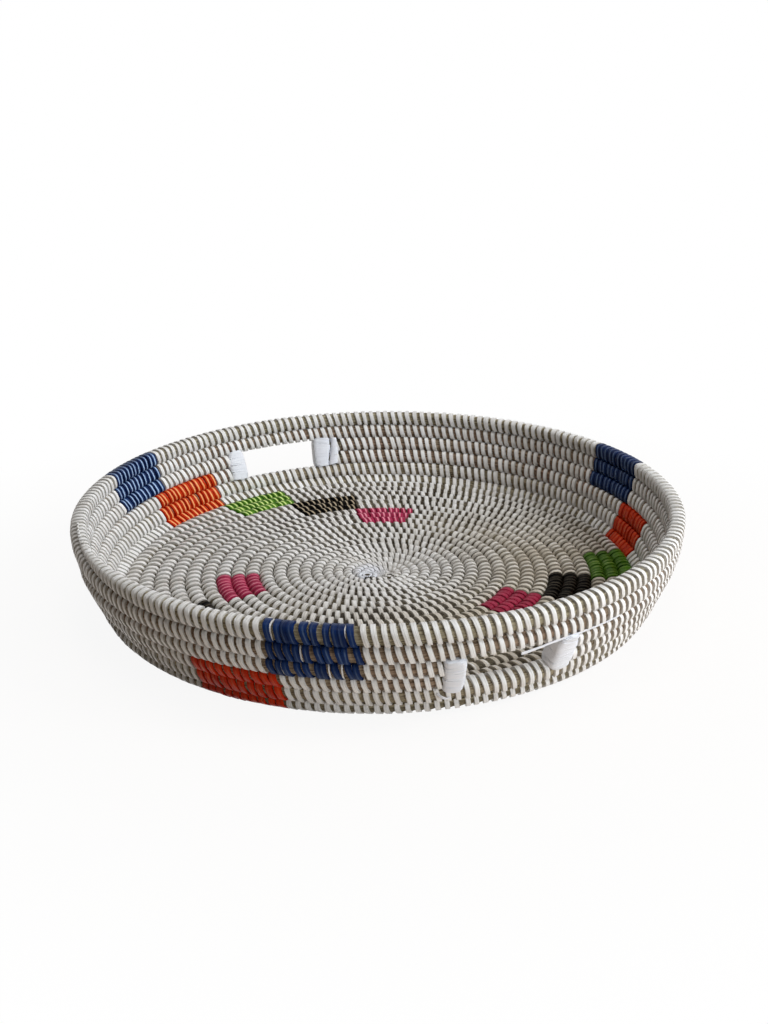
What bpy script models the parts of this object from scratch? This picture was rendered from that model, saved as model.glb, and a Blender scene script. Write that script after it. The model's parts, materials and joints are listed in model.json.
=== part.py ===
"""A round coiled serving tray with two hand slots, sewn in white strip with stepped colour blocks.

One bundle of grass is wound from a knot at the centre into a flat floor and on up into a leaning wall.
Rows are counted from the rim, so row 1 is the rim and row 26 is the knot. Rows 3 and 4 are left out
over each hand slot, where the coil is turned back on itself and bound. Fifteen blocks of coloured strip,
three arms of five, are wound over three rows each. Metres, +Z up, with the origin on the surface that the
tray stands on, under its middle. The hand slots lie on the X axis.
"""
import math
from collections import namedtuple

import bmesh
import bpy
import numpy as np
from mathutils import Vector, kdtree

# Sizes of the coil
START_PITCH = 0.0070  # row to row beside the knot, where the bundle is thin
FLOOR_PITCH = 0.0117  # row to row on the outer floor
WALL_PITCH = 0.0130  # row to row on the wall
ROW_GAP = 0.0005  # left between the rows
OVAL_REACH = 0.0050  # how far the first rows are drawn out along the tray's oval start
OFF_CENTRE = 0.0040  # how far the start lies from the tray's middle
START_FADE = 0.045  # radius over which both die away

# Sizes of the strip that is wound over the coil
STRIP = 0.0011  # thickness of a coloured block's winding
BINDING_STRIP = 0.0014  # thickness of the binding at a hand slot
FIT = 0.0003  # clearance between a winding and the coil in it

# Hand slots: name, azimuth of the middle in degrees, clear length, and the binding's reach at each end
HAND_SLOTS = (
    ("near", 0.0, 0.0600, 0.0215, 0.0160),
    ("far", 184.5, 0.0715, 0.0180, 0.0260),
)

# Rows
KNOT_ROW = 26
FLOOR_TOP_ROW = 7
FOOT_ROWS = (5, 6)
SIDE_ROWS = (3, 4)
RIM_ROWS = (1, 2)
EVEN_FROM_ROW = 15.0  # from here inward the spiral is even
LEVEL_FROM_ROW = 6.5  # from here outward the rows are level, and climb in one short arc
GROWN_ROW = 16.5  # from here outward the floor's rows have their full pitch
PROFILE_END_ROW = -1.0  # the profile is followed to here, past the rim, so that row 1 has a neighbour

# Lean of the profile, in degrees from the floor, at these rows. The wall is straight through the hand slots
LEAN_ROWS = (0.5, 1.5, 2.4, 3.0, 4.0, 5.0, 5.6, 6.5, 7.5)
LEAN_DEGREES = (90.0, 86.0, 76.0, 68.0, 68.0, 70.0, 66.0, 0.0, 0.0)

# The climb from row to row, in degrees of travel. The coil runs clockwise seen from above.
TURN = 360.0
LOOP_POINTS = 20
STEP = TURN / LOOP_POINTS
CLIMB_START = 57.0
CLIMB_ARC = 48.0
FIRST_TRAVEL = CLIMB_START + CLIMB_ARC / 2  # the coil starts here, half a row out from the knot's middle
FLOOR_JOINT_AZIMUTH = -50.0
OVAL_AZIMUTH = 69.0  # the oval start is longest along this line
OFF_CENTRE_AZIMUTH = -21.0
SPLICE_AZIMUTHS = {"left": -90.0, "right": 60.0}
TAPER_TIP_SHARE = 0.20  # thickness of a tapered end, as a share of the coil

# Colour blocks: rows, then each arm's middle azimuth and width in degrees
BLOCKS = {
    "blue": ((1, 2, 3), ((227.5, 16.0), (91.9, 15.0), (-31.8, 15.0))),
    "orange": ((4, 5, 6), ((213.4, 18.4), (79.2, 13.2), (-45.8, 16.2))),
    "green": ((7, 8, 9), ((195.9, 18.2), (68.0, 15.5), (-61.0, 17.0))),
    "black": ((10, 11, 12), ((178.2, 21.3), (52.8, 17.4), (-77.0, 19.0))),
    "pink": ((13, 14, 15), ((157.1, 23.0), (34.5, 19.5), (-94.2, 19.6))),
}

# The coil's section: six corners, along the row-to-row line and square to it, as shares of the half widths
SECTION_SHARES = ((1.0, 0.0), (0.5, 1.0), (-0.5, 1.0), (-1.0, 0.0), (-0.5, -1.0), (0.5, -1.0))
SLANT = math.hypot(1.0, SECTION_SHARES[1][0])  # how far the section's point moves out for each unit of offset
HAIRPIN_POINTS = 7
NEAREST_POINTS = 24  # looked at round each point when the least gap is measured
NOSE_POINTS = 9
KNOT_SIDES = 16
KNOT_ROUNDING_SHARE = 0.35  # of the knot's half thickness

COLOURS = {
    "coil": ((0.62, 0.57, 0.48), 0.62),
    "binding": ((0.84, 0.84, 0.83), 0.42),
    "blue": ((0.020, 0.075, 0.300), 0.38),
    "orange": ((0.720, 0.130, 0.020), 0.40),
    "green": ((0.130, 0.400, 0.030), 0.40),
    "black": ((0.030, 0.024, 0.020), 0.40),
    "pink": ((0.560, 0.050, 0.200), 0.40),
}

Section = namedtuple("Section", "centre stack normal along across")
UPWARD = np.array((0.0, 0.0, 1.0))


def clear_scene():
    for item in list(bpy.data.objects):
        bpy.data.objects.remove(item, do_unlink=True)


def material(name):
    """The named finish, made once."""
    found = bpy.data.materials.get(name)
    if found:
        return found
    colour, roughness = COLOURS[name]
    made = bpy.data.materials.new(name)
    made.use_nodes = True
    made.diffuse_color = (*colour, 1.0)
    shader = made.node_tree.nodes["Principled BSDF"]
    shader.inputs["Base Color"].default_value = (*colour, 1.0)
    shader.inputs["Roughness"].default_value = roughness
    shader.inputs["Metallic"].default_value = 0.0
    return made


# The profile, from the centre out to above the rim


def pitch_at(row):
    return np.interp(
        row,
        (LEVEL_FROM_ROW, FLOOR_TOP_ROW + 0.5, GROWN_ROW, KNOT_ROW),
        (WALL_PITCH, FLOOR_PITCH, FLOOR_PITCH, START_PITCH),
    )


def lean_at(row):
    return np.radians(np.interp(row, LEAN_ROWS, LEAN_DEGREES))


def half_at(row):
    """Half the thickness of the coil in this row."""
    return (pitch_at(row) - ROW_GAP) / 2


def make_profile(steps_per_row=40):
    """Rows, radii and lifts: the profile is followed outward from the centre, a small step at a time."""
    first = KNOT_ROW + 0.5
    rows = np.linspace(first, PROFILE_END_ROW, int((first - PROFILE_END_ROW) * steps_per_row) + 1)
    middles = (rows[1:] + rows[:-1]) / 2
    run = pitch_at(middles) / steps_per_row
    radii = np.concatenate(([0.0], np.cumsum(run * np.cos(lean_at(middles)))))
    lifts = np.concatenate(([0.0], np.cumsum(run * np.sin(lean_at(middles)))))
    return rows[::-1], radii[::-1], lifts[::-1]


PROFILE = make_profile()


def on_profile(row):
    """Radius and height of the coil's centre line in this row, which may lie between two whole rows."""
    rows, radii, lifts = PROFILE
    return np.interp(row, rows, radii), np.interp(row, rows, lifts) + half_at(row)


# The winding


def eased(share):
    """A share that leaves 0 and reaches 1 smoothly."""
    share = min(max(share, 0.0), 1.0)
    return share * share * (3 - 2 * share)


def level_climb(travel):
    """Rows climbed after this travel, where rows are level and climb in one short arc."""
    turns, rest = divmod(travel - CLIMB_START, TURN)
    return turns + eased(rest / CLIMB_ARC)


def spiral_row(travel):
    """The row at this travel along the one long coil: even near the centre, level on the wall."""
    even = (travel - FIRST_TRAVEL) / TURN + 0.5
    level = eased((EVEN_FROM_ROW - (KNOT_ROW - even)) / (EVEN_FROM_ROW - LEVEL_FROM_ROW))
    return KNOT_ROW - even - level * (level_climb(travel) - even)


def travel_to(row, azimuth):
    """Travel at which the coil passes this azimuth in this row. A row starts and ends mid-climb."""
    start = FIRST_TRAVEL + TURN * (KNOT_ROW - 1 - row)
    return start + (-azimuth - start) % TURN


def heading(azimuth):
    """The level direction at this azimuth."""
    return np.array((math.cos(math.radians(azimuth)), math.sin(math.radians(azimuth)), 0.0))


def centre_at(azimuth, row):
    radius, height = on_profile(row)
    fade = math.exp(-radius / START_FADE)
    drawn = OVAL_REACH * fade * math.cos(math.radians(azimuth - OVAL_AZIMUTH))
    level = radius * heading(azimuth) + drawn * heading(OVAL_AZIMUTH)
    return level + OFF_CENTRE * fade * heading(OFF_CENTRE_AZIMUTH) + height * UPWARD


def section_at(azimuth, row, along):
    """The coil's section in the upright plane at this azimuth, with the half width given along the rows."""
    lean = lean_at(row)
    stack = heading(azimuth) * math.cos(lean) + UPWARD * math.sin(lean)
    normal = heading(azimuth) * math.sin(lean) - UPWARD * math.cos(lean)
    return Section(centre_at(azimuth, row), stack, normal, along, half_at(row))


def between(first, second, share):
    return Section(*(a + (b - a) * share for a, b in zip(first, second)))


def on_chords(place, travel):
    """A section on the straight run between whole steps, so that rows with more points stay parallel."""
    low = math.floor(travel / STEP) * STEP
    return between(place(low), place(low + STEP), (travel - low) / STEP)


def spiral_place(travel):
    """The long coil's section at a whole step."""
    azimuth = -travel
    here = centre_at(azimuth, spiral_row(travel))
    gaps = []
    for neighbour in (travel - TURN, travel + TURN):
        row = spiral_row(neighbour)
        if row <= KNOT_ROW:
            gaps.append(np.linalg.norm(centre_at(azimuth, row) - here))
    return section_at(azimuth, spiral_row(travel), (min(gaps) - ROW_GAP) / 2)


def row_place(row):
    """Sections of a level row."""
    return lambda travel: section_at(-travel, row, half_at(row))


def corners(section, trim=0.0):
    """The six corners of a section, drawn in by trim."""
    along = section.along - trim
    across = section.across - trim
    return [
        section.centre + section.stack * (s * along) + section.normal * (n * across)
        for s, n in SECTION_SHARES
    ]


# Meshes


def add_object(name, mesh_builder, finish, smooth_angle=40.0):
    mesh = bpy.data.meshes.new(name)
    work = bmesh.new()
    mesh_builder(work)
    bmesh.ops.recalc_face_normals(work, faces=work.faces)
    work.to_mesh(mesh)
    work.free()
    mesh.shade_smooth()
    mesh.set_sharp_from_angle(angle=math.radians(smooth_angle))
    mesh.materials.append(material(finish))
    made = bpy.data.objects.new(name, mesh)
    bpy.context.scene.collection.objects.link(made)
    return made


def join_rings(work, rings, closed_ends=True):
    """Quads between rings of corners, with a cap on each end."""
    verts = [[work.verts.new(Vector(point)) for point in ring] for ring in rings]
    sides = len(verts[0])
    for first, second in zip(verts, verts[1:]):
        for i in range(sides):
            j = (i + 1) % sides
            work.faces.new((first[i], first[j], second[j], second[i]))
    if closed_ends:
        work.faces.new(verts[0])
        work.faces.new(verts[-1][::-1])
    return verts


def least_gap(name, rings, loop_rings):
    """Prints the least gap between parts of a tube that lie over half a loop apart."""
    tree = kdtree.KDTree(sum(len(ring) for ring in rings))
    owners = []
    for number, ring in enumerate(rings):
        for point in ring:
            tree.insert(Vector(point), len(owners))
            owners.append(number)
    tree.balance()
    least = math.inf
    for number, ring in enumerate(rings):
        for point in ring:
            far = tree.find_n(Vector(point), NEAREST_POINTS)
            apart = [gap for _, i, gap in far if abs(owners[i] - number) > loop_rings / 2]
            least = min([least, *apart])
    print(f"{name}: least gap to itself {least * 1000:.2f} mm")


def spiral_stations(start, end):
    """Travels along the coil with the trim there: whole steps, and both faces at a wound stretch's ends."""
    stretches = []
    for rows, arms in BLOCKS.values():
        for row in rows:
            for middle, width in arms:
                enter = travel_to(row, middle) - width / 2
                if start < enter < end:
                    stretches.append((enter, enter + width))
    return stations_with(start, end, stretches)


def stations_with(start, end, stretches):
    neck = STRIP + FIT
    stations = [(start, 0.0), (end, 0.0)]
    for enter, leave in stretches:
        stations += [(enter, 0.0), (enter, neck), (leave, neck), (leave, 0.0)]
    step = math.floor(start / STEP) + 1
    while step * STEP < end:
        travel = step * STEP
        inside = any(enter < travel < leave for enter, leave in stretches)
        stations.append((travel, neck if inside else 0.0))
        step += 1
    order = {}
    for enter, leave in stretches:
        order[(enter, neck)] = 1
        order[(leave, 0.0)] = 1
    stations.sort(key=lambda item: (item[0], order.get(item, 0)))
    return stations


def tapered_rings(start, rows, ending):
    """Rings of a drawn-out end: it fills the wedge over (or under) the row that climbs beside it."""
    rings = []
    for travel in np.arange(math.ceil(start / STEP) * STEP, start + CLIMB_ARC, STEP):
        share = eased((travel - start) / CLIMB_ARC)
        thickness = 1 - share if ending else share
        if thickness < TAPER_TIP_SHARE:
            continue
        row = rows[0] - share / 2 if ending else rows[-1] + 0.5 - share / 2
        along = (pitch_at(row) * thickness - ROW_GAP) / 2
        section = section_at(-travel, row, along)
        rings.append(corners(section._replace(across=section.across * thickness)))
    return rings


def wound_rings(start, end):
    return [
        corners(on_chords(spiral_place, travel), trim)
        for travel, trim in spiral_stations(start, end)
    ]


def make_floor_coil():
    rings = wound_rings(FIRST_TRAVEL, travel_to(FLOOR_TOP_ROW, FLOOR_JOINT_AZIMUTH))
    add_object("floor_coil", lambda work: join_rings(work, rings), "coil")
    least_gap("floor_coil", rings, TURN / STEP)


def joint_travel():
    """Where the wall's coil takes over from the floor's, one clearance past the floor coil's end."""
    radius, _ = on_profile(FLOOR_TOP_ROW)
    return travel_to(FLOOR_TOP_ROW, FLOOR_JOINT_AZIMUTH) + math.degrees(FIT / radius)


def make_wall_foot_coil():
    end = CLIMB_START + TURN * (KNOT_ROW - FOOT_ROWS[0])
    rings = wound_rings(joint_travel(), end)
    rings += tapered_rings(end, FOOT_ROWS, True)
    add_object("wall_foot_coil", lambda work: join_rings(work, rings), "coil")
    least_gap("wall_foot_coil", rings, TURN / STEP)


def make_rim_coil():
    start = CLIMB_START + TURN * (KNOT_ROW - RIM_ROWS[1] - 1)
    end = CLIMB_START + TURN * (KNOT_ROW - RIM_ROWS[0])
    rings = tapered_rings(start, RIM_ROWS, False)
    rings += wound_rings(start + CLIMB_ARC, end)
    rings += tapered_rings(end, RIM_ROWS, True)
    add_object("rim_coil", lambda work: join_rings(work, rings), "coil")
    least_gap("rim_coil", rings, TURN / STEP)


# The coil's turned back ends at the hand slots


def slot_edge(slot, side):
    """Azimuth of a slot's edge: side is -1 for its clockwise end and 1 for the other."""
    _, middle, length, *_ = slot
    radius, _ = on_profile(sum(SIDE_ROWS) / 2)
    return middle + side * math.degrees(length / 2 / radius)


def hairpin_frame(slot, side):
    """Middle of the turned back end, its directions along the slot, up the wall and out, and its sizes."""
    middle_row = sum(SIDE_ROWS) / 2
    half = half_at(middle_row)
    bend = pitch_at(middle_row) / 2
    nose = bend + half + (FIT + BINDING_STRIP) * SLANT
    radius, _ = on_profile(middle_row)
    azimuth = slot_edge(slot, side) + side * math.degrees(nose / radius)
    travel = -azimuth
    section = on_chords(row_place(middle_row), travel)
    ahead = on_chords(row_place(middle_row), travel + side).centre - section.centre
    ahead = ahead / np.linalg.norm(ahead)
    return azimuth, section, ahead, half, bend


def hairpin_rings(slot, side, upward):
    """Rings round the end of a side coil, from the lower row to the upper, or back."""
    _, section, ahead, _, bend = hairpin_frame(slot, side)
    rings = []
    for i in range(1, HAIRPIN_POINTS - 1):
        turn = math.pi * i / (HAIRPIN_POINTS - 1)
        rise = -math.cos(turn) if upward else math.cos(turn)
        outward = ahead * math.sin(turn) + section.stack * rise
        rings.append(corners(section._replace(centre=section.centre + outward * bend, stack=outward)))
    return rings


def leg_rings(row, start, end, flip):
    """Rings along a side coil's row, from azimuth to azimuth, with the wound stretches drawn in."""
    stretches = []
    for rows, arms in BLOCKS.values():
        for middle, width in arms:
            for turns in (-TURN, 0.0, TURN):
                low = -middle - width / 2 + turns
                if row in rows and -end < low < -start:
                    stretches.append((low, low + width))
    rings = []
    for travel, trim in stations_with(-end, -start, stretches):
        section = on_chords(row_place(row), travel)
        if flip:
            section = section._replace(stack=-section.stack)
        rings.append(corners(section, trim))
    return rings


def make_side_coil(name, from_slot, to_slot, splice):
    """One coil out along the lower row, round the end, back along the upper row, and round to its start."""
    low, high = SIDE_ROWS[1], SIDE_ROWS[0]
    start = hairpin_frame(from_slot, 1)[0]
    end = hairpin_frame(to_slot, -1)[0]
    if end < start:
        end += TURN
    splice += TURN * math.ceil((start - splice) / TURN)
    radius, _ = on_profile(low)
    gap = math.degrees(ROW_GAP / radius)
    rings = leg_rings(low, start, splice, True)
    rings += hairpin_rings(from_slot, 1, True)
    rings += leg_rings(high, start, end, False)[::-1]
    rings += hairpin_rings(to_slot, -1, False)
    rings += leg_rings(low, splice + gap, end, True)
    add_object(name, lambda work: join_rings(work, rings), "coil")
    least_gap(name, rings, len(rings) / 4)


def make_binding(name, slot, side, reach):
    """Strip wound round a turned back end: a channel open towards the wall, its round nose in the slot."""
    _, section, ahead, half, bend = hairpin_frame(slot, side)
    inner_side = half + FIT
    inner_tip = bend + half + FIT * SLANT
    shoulder = inner_tip - inner_side * SECTION_SHARES[1][0]
    outer_side = inner_side + BINDING_STRIP
    outer_tip = inner_tip + BINDING_STRIP * SLANT
    back = outer_tip - reach
    outline = [(back, inner_side), (back, outer_side)]
    for i in range(NOSE_POINTS):
        turn = math.pi * (0.5 - i / (NOSE_POINTS - 1))
        outline.append((bend + (outer_tip - bend) * math.cos(turn), outer_side * math.sin(turn)))
    outline += [(back, -outer_side), (back, -inner_side)]
    outline += [(shoulder, -inner_side), (inner_tip, 0.0), (shoulder, inner_side)]
    reach_up = bend + half
    rings = [
        [
            section.centre + ahead * u + section.normal * n + section.stack * height
            for u, n in outline
        ]
        for height in (-reach_up, reach_up)
    ]
    add_object(name, lambda work: join_rings(work, rings), "binding")


def make_side_coils_and_bindings():
    near, far = HAND_SLOTS
    make_side_coil("side_coil_right", near, far, SPLICE_AZIMUTHS["right"])
    make_side_coil("side_coil_left", far, near, SPLICE_AZIMUTHS["left"])
    for slot in HAND_SLOTS:
        name, _, _, right_reach, left_reach = slot
        make_binding(f"{name}_slot_binding_right", slot, 1, right_reach)
        make_binding(f"{name}_slot_binding_left", slot, -1, left_reach)


# Colour blocks


def block_sections(rows, middle, width):
    """For each station across a block, the sections of its three rows."""
    start = travel_to(rows[0], middle) - width / 2
    radius, _ = on_profile(rows[-1])
    clearance = math.degrees(FIT / radius)
    travels = [start + clearance, start + width - clearance]
    step = math.floor(travels[0] / STEP) + 1
    while step * STEP < travels[1]:
        travels.append(step * STEP)
        step += 1
    stations = []
    for travel in sorted(travels):
        sections = []
        for row in rows:
            if row in SIDE_ROWS:
                sections.append(on_chords(row_place(row), travel))
            else:
                sections.append(on_chords(spiral_place, travel + TURN * (rows[0] - row)))
        stations.append(sections)
    return stations


def outline_of(sections):
    """Corners round a block's three rows, with a notch on each side between rows."""
    outer = [corners(section) for section in sections]
    notches = []
    for i in range(len(sections) - 1):
        middle = (outer[i][3] + outer[i + 1][0]) / 2
        normal = (sections[i].normal + sections[i + 1].normal) / 2
        notches.append((middle + normal * STRIP, middle - normal * STRIP))
    front = [outer[0][0]]
    back = []
    for i, ring in enumerate(outer):
        front += [ring[1], ring[2]]
        back = [ring[4], ring[5]] + back
        if i < len(notches):
            front.append(notches[i][0])
            back = [notches[i][1]] + back
    return front + [outer[-1][3]] + back


def make_block(name, rows, middle, width, finish):
    """Coloured strip wound over three rows and sewn from row to row: three sleeves in one piece."""
    stations = block_sections(rows, middle, width)

    def build(work):
        outer = join_rings(work, [outline_of(sections) for sections in stations], False)
        inner = [
            join_rings(work, [corners(sections[i], STRIP) for sections in stations], False)
            for i in range(len(rows))
        ]
        for end in (0, -1):
            close_block_end(work, outer[end], [tube[end] for tube in inner])

    add_object(name, build, finish)


def close_block_end(work, outer, tubes):
    """Faces between a block's outline and the mouths of its three sleeves.

    The outline runs down one side of the rows and up the other, with three corners for each row.
    """
    count = len(outer)
    for i, tube in enumerate(tubes):
        first = 3 * i
        down = [outer[first + j] for j in range(4)]
        up = [outer[(count - first - j) % count] for j in range(4)]
        for j in range(3):
            work.faces.new((down[j], down[j + 1], tube[j + 1], tube[j]))
            work.faces.new((up[j + 1], up[j], tube[-j], tube[-j - 1]))
        if i + 1 < len(tubes):
            work.faces.new((down[3], tubes[i + 1][0], up[3], tube[3]))


def make_blocks():
    for finish, (rows, arms) in BLOCKS.items():
        for number, (middle, width) in enumerate(arms, 1):
            make_block(f"{finish}_block_{number}", rows, middle, width, finish)


# The knot that the coil starts from


def make_knot():
    """A small oval button of bound grass in the middle of the floor, just inside the coil's first loop."""
    first_row = spiral_row(FIRST_TRAVEL)
    half = half_at(KNOT_ROW)
    loop = np.array([centre_at(TURN * i / KNOT_SIDES, first_row) for i in range(KNOT_SIDES)])
    middle = loop.mean(axis=0) * (1, 1, 0)
    reach = (loop - middle) * (1, 1, 0)
    radius = np.linalg.norm(reach, axis=1)[:, None]
    outline = reach * (radius - half_at(first_row) - ROW_GAP) / radius
    drawn_in = 1 - KNOT_ROUNDING_SHARE
    rings = [
        [middle + point * share + UPWARD * half * level for point in outline]
        for share, level in (
            (drawn_in, 0.0),
            (1.0, KNOT_ROUNDING_SHARE),
            (1.0, 2 - KNOT_ROUNDING_SHARE),
            (drawn_in, 2.0),
        )
    ]
    add_object("centre_knot", lambda work: join_rings(work, rings), "coil")


def main():
    clear_scene()
    make_knot()
    make_floor_coil()
    make_wall_foot_coil()
    make_side_coils_and_bindings()
    make_rim_coil()
    make_blocks()


main()
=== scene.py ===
"""A round coiled serving tray: grass bundle cores, sewn strip, colour blocks, bound hand slots and the knot.

The coil's course repeats the solids' own rules, so each piece lies where its solid does. Rows are counted from the
rim. Along the coil, ahead is the way it was wound, clockwise from above; stack points to the next row out or up.
"""
import json
import math
from collections import namedtuple

import bpy
import numpy as np
from mathutils import Matrix, Vector

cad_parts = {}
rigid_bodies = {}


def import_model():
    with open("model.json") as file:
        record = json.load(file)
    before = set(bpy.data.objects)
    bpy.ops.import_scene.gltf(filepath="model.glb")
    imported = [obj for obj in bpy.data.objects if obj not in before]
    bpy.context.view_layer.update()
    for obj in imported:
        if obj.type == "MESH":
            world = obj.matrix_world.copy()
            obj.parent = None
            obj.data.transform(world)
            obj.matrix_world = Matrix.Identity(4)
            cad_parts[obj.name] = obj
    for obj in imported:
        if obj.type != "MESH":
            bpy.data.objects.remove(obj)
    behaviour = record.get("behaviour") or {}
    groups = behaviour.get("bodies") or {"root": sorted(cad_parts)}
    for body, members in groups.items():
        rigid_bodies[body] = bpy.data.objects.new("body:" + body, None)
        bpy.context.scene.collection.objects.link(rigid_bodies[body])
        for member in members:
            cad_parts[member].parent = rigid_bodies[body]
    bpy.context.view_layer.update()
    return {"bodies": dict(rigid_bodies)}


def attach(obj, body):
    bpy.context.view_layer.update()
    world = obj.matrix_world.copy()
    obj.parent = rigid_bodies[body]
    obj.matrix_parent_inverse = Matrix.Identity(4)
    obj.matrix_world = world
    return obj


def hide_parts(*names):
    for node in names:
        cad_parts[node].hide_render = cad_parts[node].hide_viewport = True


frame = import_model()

BODY = list(frame["bodies"])[0]
CHANCE = np.random.default_rng(26)

# Sizes of the coil, as the solids have them
START_PITCH = 0.0070
FLOOR_PITCH = 0.0117
WALL_PITCH = 0.0130
OVAL_REACH = 0.0050
OFF_CENTRE = 0.0040
START_FADE = 0.045
BINDING_STRIP = 0.0014
FIT = 0.0003
ROW_GAP = 0.0005
# Each hand slot: name, azimuth, length, and how far past its ends the right and the left binding reach
HAND_SLOTS = (("near", 0.0, 0.0600, 0.0215, 0.0160), ("far", 184.5, 0.0715, 0.0180, 0.0260))
KNOT_ROW = 26
FLOOR_TOP_ROW = 7
SIDE_ROWS = (3, 4)
EVEN_FROM_ROW = 15.0
LEVEL_FROM_ROW = 6.5
GROWN_ROW = 16.5
PROFILE_END_ROW = -1.0
LEAN_ROWS = (0.5, 1.5, 2.4, 3.0, 4.0, 5.0, 5.6, 6.5, 7.5)
LEAN_DEGREES = (90.0, 86.0, 76.0, 68.0, 68.0, 70.0, 66.0, 0.0, 0.0)
TURN = 360.0
# Travel is degrees along the coil from its start, and the wall's rows step up within one arc of each turn
CLIMB_START = 57.0
CLIMB_ARC = 48.0
FIRST_TRAVEL = CLIMB_START + CLIMB_ARC / 2
TOP_ROW_START = FIRST_TRAVEL + TURN * (KNOT_ROW - 2)
FLOOR_JOINT_AZIMUTH = -50.0
OVAL_AZIMUTH = 69.0
OFF_CENTRE_AZIMUTH = -21.0
# Each block's rows, and the azimuth of its middle and its width in degrees in the three arms
BLOCKS = {
    "blue": ((1, 2, 3), ((227.5, 16.0), (91.9, 15.0), (-31.8, 15.0))),
    "orange": ((4, 5, 6), ((213.4, 18.4), (79.2, 13.2), (-45.8, 16.2))),
    "green": ((7, 8, 9), ((195.9, 18.2), (68.0, 15.5), (-61.0, 17.0))),
    "black": ((10, 11, 12), ((178.2, 21.3), (52.8, 17.4), (-77.0, 19.0))),
    "pink": ((13, 14, 15), ((157.1, 23.0), (34.5, 19.5), (-94.2, 19.6))),
}

# Sizes of the sewing
WALL_STRIP_WIDTH = 0.0039
INSIDE_WIDENING = 1.18  # the strip lies this much flatter and wider on the wall's inner side
FLOOR_STRIP_WIDTH = 0.0046
WALL_STITCH = 0.00685  # stitch to stitch along the wall's rows, in the middle of its range
STITCH_DRIFT = 0.00065  # the stitches are this much wider apart on one side of the tray and closer on the other
WIDEST_AZIMUTH = 120.0
FLOOR_STITCH = 0.0078
KNOT_STITCH = 0.0042
WALL_BLOCK_STITCH = 0.0062
FLOOR_BLOCK_STITCH = 0.0057
BLOCK_WIDTHS = {"blue": (0.0049, 1.21), "orange": (0.0056, 1.08)}  # width outside, and how much wider inside
BLOCK_GLEAM = {1: 1.5, ("blue", 2): 0.35, ("pink", 3): 0.65}  # how much of the glossy streak, a painted highlight, shows on the turns
BLOCK_LIFT = 0.0001  # the coloured turns stand this much proud
EVEN_SEWING = 0.07  # shares of a stitch by which it strays: usual, and in the front blue block with its loose pairs
LOOSE_PAIRS = 0.30
SPAN_SHIFT = 0.0012
WIDEST_SHARE = 0.86  # a white turn takes at most this share of its place along the row
GLINT_TURN_SHARE = 0.18  # of the front blue block's gaps, where a thin white turn shows: strip carried under it, and partly a painted highlight for the pale glints there
GLINT_TURN_WIDTH = 0.34
TUCKED_UNDER = 0.0060  # how far the wall's stitches go on under a binding
BITE = 0.0005  # how far each stitch reaches into the row before it
BUNDLE_DEPTH = 0.0015  # the bundle under a stitch lies this far inside the strip's face
FLOOR_BUNDLE_DEPTH = 0.0019
BUNDLE_SWELL = 0.0007  # it swells this much between two stitches
WALL_SQUARENESS = 0.66  # power of the section's sine and cosine: 1 is an ellipse
FLOOR_SQUARENESS = 0.88
BUNDLE_ROUNDNESS = 0.95
BUNDLE_SIDES = 14
BUNDLE_FILL = 0.0001  # between two rows it reaches this far past the seam
THINNEST_BUNDLE = 0.0004
SAMPLES_PER_DEGREE = 2
DARK_SHADE_ROW = 9.0  # the grass under the bindings and in the knot's wells takes the dark umber of this floor row, painted shade for those hollows
BINDING_SQUARENESS = 0.42
BINDING_NOSE = 0.0138  # from the bend's middle to the strip's face towards the slot
WELL_DEPTH = 0.0026
SHARP = math.radians(50)

# Camera, from a fit to the photo's rows, and lamps
CAMERA_PLACE = (0.7831, -0.3033, 0.3854)
CAMERA_FORWARD = (-0.86695, 0.34158, -0.36292)
CAMERA_ROLL = -0.0146
FOCAL_PIXELS = 1101.95
PHOTO_WIDTH = 768
SENSOR_WIDTH = 36.0
LAMP_DISTANCE = 1.6

UPWARD = np.array((0.0, 0.0, 1.0))
Run = namedtuple("Run", "travel row centre ahead stack inward along across wide")
Sewing = namedtuple("Sewing", "pitch width widening squareness finish")


# The profile and the winding, as the solids have them


def pitch_at(row):
    return np.interp(
        row,
        (LEVEL_FROM_ROW, FLOOR_TOP_ROW + 0.5, GROWN_ROW, KNOT_ROW),
        (WALL_PITCH, FLOOR_PITCH, FLOOR_PITCH, START_PITCH),
    )


def lean_at(row):
    return np.radians(np.interp(row, LEAN_ROWS, LEAN_DEGREES))


def half_at(row):
    return (pitch_at(row) - ROW_GAP) / 2


def make_profile(steps_per_row=40):
    first = KNOT_ROW + 0.5
    rows = np.linspace(first, PROFILE_END_ROW, int((first - PROFILE_END_ROW) * steps_per_row) + 1)
    middles = (rows[1:] + rows[:-1]) / 2
    run = pitch_at(middles) / steps_per_row
    steps = (run * np.cos(lean_at(middles)), run * np.sin(lean_at(middles)))
    radii, lifts = (np.concatenate(([0.0], np.cumsum(step))) for step in steps)
    return rows[::-1], radii[::-1], lifts[::-1]


PROFILE = make_profile()


def on_profile(row):
    rows, radii, lifts = PROFILE
    return np.interp(row, rows, radii), np.interp(row, rows, lifts) + half_at(row)


def eased(share):
    share = np.clip(share, 0.0, 1.0)
    return share * share * (3 - 2 * share)


def level_climb(travel):
    turns, rest = np.divmod(travel - CLIMB_START, TURN)
    return turns + eased(rest / CLIMB_ARC)


def spiral_row(travel):
    even = (travel - FIRST_TRAVEL) / TURN + 0.5
    level = eased((EVEN_FROM_ROW - (KNOT_ROW - even)) / (EVEN_FROM_ROW - LEVEL_FROM_ROW))
    return KNOT_ROW - even - level * (level_climb(travel) - even)


def travel_to(row, azimuth):
    start = FIRST_TRAVEL + TURN * (KNOT_ROW - 1 - row)
    return start + (-azimuth - start) % TURN


def heading(azimuth):
    """Level directions at these azimuths, one to a line."""
    turned = np.radians(np.atleast_1d(azimuth))
    return np.stack((np.cos(turned), np.sin(turned), np.zeros_like(turned)), axis=-1)


LONG_WAY = heading(OVAL_AZIMUTH)[0]
WIDE_WAY = np.cross(UPWARD, LONG_WAY)


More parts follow.
